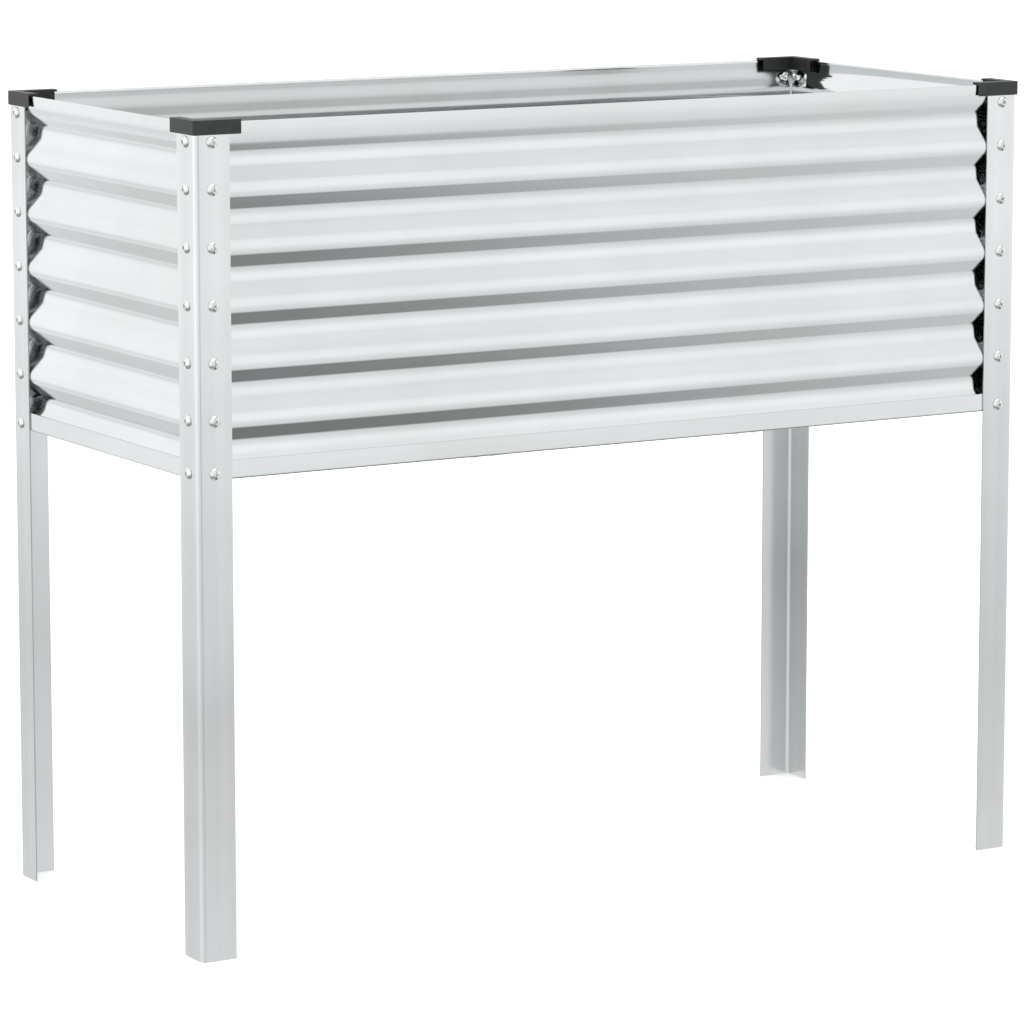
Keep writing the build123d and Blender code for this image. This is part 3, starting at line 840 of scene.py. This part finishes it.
def nut_shape(sizes, flats, height, bore):
    """A hexagon nut with both faces chamfered and a countersunk bore, seated on the origin."""
    corner = flats / math.sqrt(3)
    steps = sizes.round_steps
    hexagon, turned, hole = bmesh.new(), bmesh.new(), bmesh.new()
    cone(hexagon, 6, corner, corner, height)
    cone(turned, steps, corner * TURNED_ROOM, corner * TURNED_ROOM, height)
    rims = [e for e in turned.edges if e.calc_face_angle(0) > NUT_SHARP]
    bevelled(turned, rims, corner * NUT_CHAMFER_WIDTH, 1)
    for vert in turned.verts:
        if abs(vert.co.z) < height / 2 - corner * NUT_FACE_BAND:
            vert.co.z = math.copysign(height / 2 - corner * NUT_CHAMFER_HEIGHT, vert.co.z)
    cone(hole, steps, bore, bore, height * BORE_LENGTH)
    for end, lower, upper in ((-1, SINK_WIDE, SINK_NARROW), (1, SINK_NARROW, SINK_WIDE)):
        sink = cone(hole, steps, bore * lower, bore * upper, height * SINK_DEPTH)
        bmesh.ops.translate(hole, vec=(0, 0, end * height * SINK_PLACE), verts=sink)
    nut = combined(combined(hexagon, turned, "INTERSECT"), hole)
    bmesh.ops.translate(nut, vec=(0, 0, -height / 2), verts=nut.verts)
    turned.free()
    hole.free()
    return nut


def turned_to(way, spin):
    """A turn that carries +Z to a way out, after a spin about it."""
    return way.to_track_quat("Z", "Y").to_matrix().to_4x4() @ Matrix.Rotation(spin, 4, "Z")


def gathered(shapes_and_places):
    """One bmesh of many copies, each at its own place."""
    whole = bmesh.new()
    for shape, place in shapes_and_places:
        mesh = bpy.data.meshes.new("copy")
        shape.to_mesh(mesh)
        mesh.transform(place)
        whole.from_mesh(mesh)
        bpy.data.meshes.remove(mesh)
    return whole


def screw_drill():
    """Round rods where the screws go, to drill the sheets with."""
    _, sizes, _, _ = settings()
    rods = bmesh.new()
    for node, across, shank in screw_nodes(sizes):
        for centre, way, size in fastener_places(node, across):
            radius = shank + sizes.hole_clearance
            rod = cone(rods, sizes.round_steps, radius, radius, size)
            place = Matrix.Translation(centre) @ turned_to(way, 0)
            bmesh.ops.transform(rods, matrix=place, verts=rod)
    return rods


def screw_nodes(sizes):
    """Each node of screws, with its head's width and its shank's radius."""
    legs = [(f"leg_screws_{end}_{side}", 2 * sizes.head_radius, sizes.shank_radius)
            for end, side in CORNERS]
    return [*legs, ("floor_screws", 2 * sizes.floor_head_radius, sizes.floor_shank_radius)]


def reworked(node, word, key, slot):
    """A piece from a node's shape, with its triangles merged and its sharp edges rounded."""
    sizes, _, _, _ = settings()
    bm = bmesh.new()
    bm.from_mesh(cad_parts[node].data)
    bmesh.ops.remove_doubles(bm, verts=bm.verts, dist=TWIN_CAD_VERTS)
    bmesh.ops.dissolve_limit(
        bm, angle_limit=CAD_FLAT, use_dissolve_boundaries=False, verts=bm.verts,
        edges=bm.edges, delimit={"NORMAL"},
    )
    break_edges(bm, sizes.edge_break, CAD_SHARP, mark=True)
    finished(bm, f"{word}_{node}", key, slot, node)


# ---------------------------------------- one operator for each kind


class PlanterLegs(bpy.types.Operator):
    """Folds the four angle legs and drills them"""

    bl_idname = "planter.legs"
    bl_label = "Legs"

    def execute(self, context):
        sizes, _, _, _ = settings()
        drill = screw_drill()
        flat = sizes.leg_flange - sizes.leg_bend
        for end, side in CORNERS:
            node = f"leg_{end}_{side}"
            low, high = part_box(node)
            half = (high.z - low.z) / 2
            steps = [(flat, 0), (sizes.leg_bend, -math.pi / 2), (flat, 0)]
            bm = bent_sheet(
                (sizes.leg_flange, 0), (-1, 0), steps, sizes.leg_wall, half,
                sizes.edge_break, lambda radius: sizes.fold_steps,
            )
            x_way = Vector((1 if side == "left" else -1, 0, 0))
            y_way = Vector((0, 1 if end == "front" else -1, 0))
            corner = Vector((low.x if side == "left" else high.x,
                             low.y if end == "front" else high.y, low.z + half))
            placed(bm, x_way, UP, y_way, corner)
            finished(combined(bm, drill), f"angle_{node}", "leg_sheet", "galvanised_leg", node)
        drill.free()
        return {"FINISHED"}


class PlanterPanels(bpy.types.Operator):
    """Rolls the four corrugated panels with their hems and drills them"""

    bl_idname = "planter.panels"
    bl_label = "Corrugated Panels"

    def execute(self, context):
        sizes, _, _, _ = settings()
        drill = screw_drill()
        for side, ways in side_frames().items():
            node = f"panel_{side}"
            low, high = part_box(node)
            steps = panel_steps(sizes, low.z, high.z)
            bm = bent_sheet(
                (sizes.foot_depth, low.z), (0, 1), steps, sizes.panel_wall,
                half_along(node, side), sizes.edge_break,
                lambda radius: sizes.fold_steps if radius < 5 * MM else sizes.wave_steps,
            )
            placed(bm, *ways)
            finished(
                combined(bm, drill), f"corrugated_{node}", f"panel_sheet_{run_of(side)}",
                "galvanised_panel", node,
            )
        drill.free()
        return {"FINISHED"}


class PlanterRails(bpy.types.Operator):
    """Folds the four bottom rails, notches the short ones and drills them"""

    bl_idname = "planter.rails"
    bl_label = "Rails"

    def execute(self, context):
        sizes, _, _, _ = settings()
        drill = screw_drill()
        for side, ways in side_frames().items():
            node = f"rail_{side}"
            low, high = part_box(node)
            half = half_along(node, side)
            reach = sizes.leg_wall + sizes.rail_ledge
            steps = [
                (sizes.rail_ledge - sizes.rail_bend, 0),
                (sizes.rail_bend, -math.pi / 2),
                (sizes.rail_height - sizes.rail_bend, 0),
            ]
            bm = bent_sheet(
                (reach, low.z), (-1, 0), steps, sizes.rail_wall, half,
                sizes.edge_break, lambda radius: sizes.fold_steps,
            )
            if run_of(side) == "short":
                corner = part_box("leg_rear_right")[1].y - half
                notch = bmesh.new()
                for end in (-1, 1):
                    made = bmesh.ops.create_cube(notch, size=1)["verts"]
                    deep = 2 * (sizes.ledge_notch - corner)
                    bmesh.ops.scale(notch, vec=(2 * reach, deep, sizes.rail_height), verts=made)
                    upright = sizes.leg_wall + sizes.rail_wall
                    bmesh.ops.translate(
                        notch, vec=(upright + reach, end * half, low.z), verts=made
                    )
                bm = combined(bm, notch)
                notch.free()
            placed(bm, *ways)
            finished(
                combined(bm, drill), f"folded_{node}", f"rail_sheet_{run_of(side)}",
                "galvanised_rail", node,
            )
        drill.free()
        return {"FINISHED"}


class PlanterFloor(bpy.types.Operator):
    """Makes the floor sheets and the braces under their joints"""

    bl_idname = "planter.floor"
    bl_label = "Floor and Braces"

    def execute(self, context):
        for part in ("left", "middle", "right"):
            reworked(f"floor_{part}", "drained", "floor_sheet", "galvanised_floor")
        for part in ("left", "right"):
            reworked(f"brace_{part}", "folded", "floor_sheet", "galvanised_brace")
        return {"FINISHED"}


class PlanterCaps(bpy.types.Operator):
    """Moulds the four black corner caps"""

    bl_idname = "planter.caps"
    bl_label = "Corner Caps"

    def execute(self, context):
        for end, side in CORNERS:
            reworked(f"cap_{end}_{side}", "moulded", "cap_plastic", "black_cap")
        return {"FINISHED"}


class PlanterScrews(bpy.types.Operator):
    """Turns the screws of the legs and of the floor"""

    bl_idname = "planter.screws"
    bl_label = "Screws"

    def execute(self, context):
        _, sizes, _, _ = settings()
        shapes = {}
        for node, across, shank in screw_nodes(sizes):
            on_floor = node == "floor_screws"
            height = sizes.floor_head_height if on_floor else sizes.head_height
            rim = sizes.floor_head_rim if on_floor else sizes.head_rim
            copies = []
            for number, (centre, way, size) in enumerate(fastener_places(node, across)):
                below = round(size - height, 4)
                key = (on_floor, below)
                if key not in shapes:
                    shapes[key] = screw_shape(sizes, shank, below, across / 2, height, rim)
                seat = centre + way * (size / 2 - height)
                spin = SCREW_SPIN_START + SCREW_SPIN_STEP * number
                copies.append((shapes[key], Matrix.Translation(seat) @ turned_to(way, spin)))
            finished(gathered(copies), f"domed_{node}", "plated_zinc", "zinc_fastener", node)
        for shape in shapes.values():
            shape.free()
        return {"FINISHED"}


class PlanterNuts(bpy.types.Operator):
    """Shapes the nuts inside the box and under the floor screws"""

    bl_idname = "planter.nuts"
    bl_label = "Nuts"

    def execute(self, context):
        _, sizes, _, _ = settings()
        groups = [(f"leg_nuts_{end}_{side}", sizes.shank_radius) for end, side in CORNERS]
        for node, shank in [*groups, ("floor_nuts", sizes.floor_shank_radius)]:
            boxes = islands(node)
            spans = sorted(boxes[0][1] - boxes[0][0])
            height, flats = spans[0], spans[1]
            shape = nut_shape(sizes, flats, height, shank - sizes.thread_depth * BORE_BITE)
            copies = []
            for number, (low, high) in enumerate(boxes):
                size, centre = high - low, (low + high) / 2
                axis = min(range(3), key=lambda i: size[i])
                out = -1 if node == "floor_nuts" or centre[axis] <= 0 else 1
                way = Vector([out if i == axis else 0 for i in range(3)])
                seat = centre + way * height / 2
                spin = NUT_SPIN_STEP * ((number * 7) % 5 - 2)  # five turns in a mixed order
                copies.append((shape, Matrix.Translation(seat) @ turned_to(way, spin)))
            finished(gathered(copies), f"hexagon_{node}", "plated_zinc", "zinc_fastener", node)
            shape.free()
        return {"FINISHED"}


# ---------------------------------------- stage


def soft_sky(world, stage):
    """Soft studio light from all round, darker below and behind the camera."""
    world.use_nodes = True
    nodes = Nodes(world.node_tree)
    way = nodes.add("TexCoord").outputs["Generated"]
    parts = nodes.add("SeparateXYZ", {"Vector": way}).outputs

    def ramp(stops):
        node = nodes.add("ValToRGB", {"Fac": nodes.span(parts["Z"], -1, 1, 0, 1)})
        places = node.color_ramp
        places.interpolation = "LINEAR"
        while len(places.elements) < len(stops):
            places.elements.new(0.5)
        for element, (degrees, shade) in zip(places.elements, stops):
            element.position = math.sin(math.radians(degrees)) / 2 + 0.5
            element.color = (shade, shade, shade, 1)
        return node.outputs[0]

    toward_front, toward_rear = ramp(SKY_TOWARD_FRONT), ramp(SKY_TOWARD_REAR)
    sideways = nodes.span(parts["X"], *SKY_SEAM, 0, 1)
    light = nodes.mix(sideways, toward_rear, toward_front)
    patches = ((stage.camera_yaw - SHADE_TURN, *SHADE_PATCH), (BRIGHT_TURN, *BRIGHT_PATCH))
    for turned, full, gone, scale in patches:
        middle = (-math.sin(turned), -math.cos(turned), 0)
        facing = nodes.add("VectorMath", {0: way, 1: middle}, operation="DOT_PRODUCT")
        change = nodes.span(facing.outputs["Value"], gone, full, 1.0, scale)
        changed = nodes.add("CombineColor", {0: change, 1: change, 2: change}).outputs[0]
        light = nodes.mix(1.0, light, changed, "MULTIPLY")
    light = nodes.mix(1.0, light, SKY_TINT, "MULTIPLY")
    back = nodes.add("Background", {"Color": light, "Strength": stage.sky_strength})
    nodes.add("OutputWorld", {"Surface": back.outputs[0]})


class PlanterStageSet(bpy.types.Operator):
    """Lays the pale floor, sets the soft light and places the camera"""

    bl_idname = "planter.stage"
    bl_label = "Stage"

    def execute(self, context):
        scene = context.scene
        _, _, _, stage = settings()

        bm = bmesh.new()
        bmesh.ops.create_circle(
            bm, cap_ends=True, cap_tris=False, segments=FLOOR_STEPS, radius=stage.floor_reach
        )
        mesh = bpy.data.meshes.new("studio_floor")
        bm.to_mesh(mesh)
        bm.free()
        floor = put_in("studio_floor", mesh)
        floor.visible_glossy = False
        material, nodes = new_material("pale_floor")
        where = nodes.add("TexCoord").outputs["Object"]
        mottle = nodes.noise(where, MOTTLE_GRAINS)
        base = nodes.mix(
            nodes.noise_span(mottle, 0.0, 1.0), rgba((stage.floor_shade,) * 3),
            rgba((stage.floor_shade * FLOOR_MOTTLE,) * 3),
        )
        shader = nodes.add("BsdfPrincipled", {
            "Base Color": base, "Roughness": 0.9, "Emission Color": base,
            "Emission Strength": stage.floor_glow,
        })
        nodes.add("OutputMaterial", {"Surface": shader.outputs[0]})
        mesh.materials.append(material)

        world = bpy.data.worlds.new("soft_studio")
        scene.world = world
        soft_sky(world, stage)

        overhead = bpy.data.lights.new("overhead", "AREA")
        overhead.shape = "RECTANGLE"
        overhead.size, overhead.size_y = OVERHEAD_SIZE
        overhead.energy = OVERHEAD_ENERGY
        lamp = put_in("overhead", overhead)
        lamp.location = OVERHEAD_PLACE
        lamp.visible_glossy = False

        camera_data = bpy.data.cameras.new("camera")
        camera_data.lens = stage.lens
        camera_data.sensor_width = SENSOR_WIDTH
        camera_data.shift_y = stage.camera_shift
        camera_data.clip_start, camera_data.clip_end = CAMERA_REACH
        camera = put_in("camera", camera_data)
        camera.location = CAMERA_PLACE
        camera.rotation_euler = (math.pi / 2 - stage.camera_pitch, 0, -stage.camera_yaw)
        scene.camera = camera
        scene.view_settings.view_transform = "Standard"
        scene.view_settings.look = "None"
        return {"FINISHED"}


class PlanterPanel(bpy.types.Panel):
    """Lists the planter's pieces and settings"""

    bl_idname = "VIEW3D_PT_planter"
    bl_label = "Raised Planter"
    bl_space_type = "VIEW_3D"
    bl_region_type = "UI"
    bl_category = "Planter"

    def draw(self, context):
        column = self.layout.column(align=True)
        for operator in OPERATORS:
            column.operator(operator.bl_idname)
        for group in settings():
            box = self.layout.box()
            for name in group.bl_rna.properties.keys():
                if name not in ("rna_type", "name"):
                    box.prop(group, name)


GROUPS = {
    "planter_sheets": PlanterSheetSizes,
    "planter_fasteners": PlanterFastenerSizes,
    "planter_finish": PlanterFinish,
    "planter_stage": PlanterStage,
}
OPERATORS = (
    PlanterStageSet, PlanterLegs, PlanterPanels, PlanterRails, PlanterFloor, PlanterCaps,
    PlanterScrews, PlanterNuts,
)
CLASSES = (*GROUPS.values(), *OPERATORS, PlanterPanel)


def register():
    for each in CLASSES:
        bpy.utils.register_class(each)
    for name, group in GROUPS.items():
        setattr(bpy.types.Scene, name, PointerProperty(type=group))


def unregister():
    for name in GROUPS:
        delattr(bpy.types.Scene, name)
    for each in reversed(CLASSES):
        bpy.utils.unregister_class(each)


def main():
    register()
    bpy.ops.planter.stage()
    bpy.ops.planter.legs()
    bpy.ops.planter.panels()
    bpy.ops.planter.rails()
    bpy.ops.planter.floor()
    bpy.ops.planter.caps()
    bpy.ops.planter.screws()
    bpy.ops.planter.nuts()


if __name__ == "__main__":
    main()
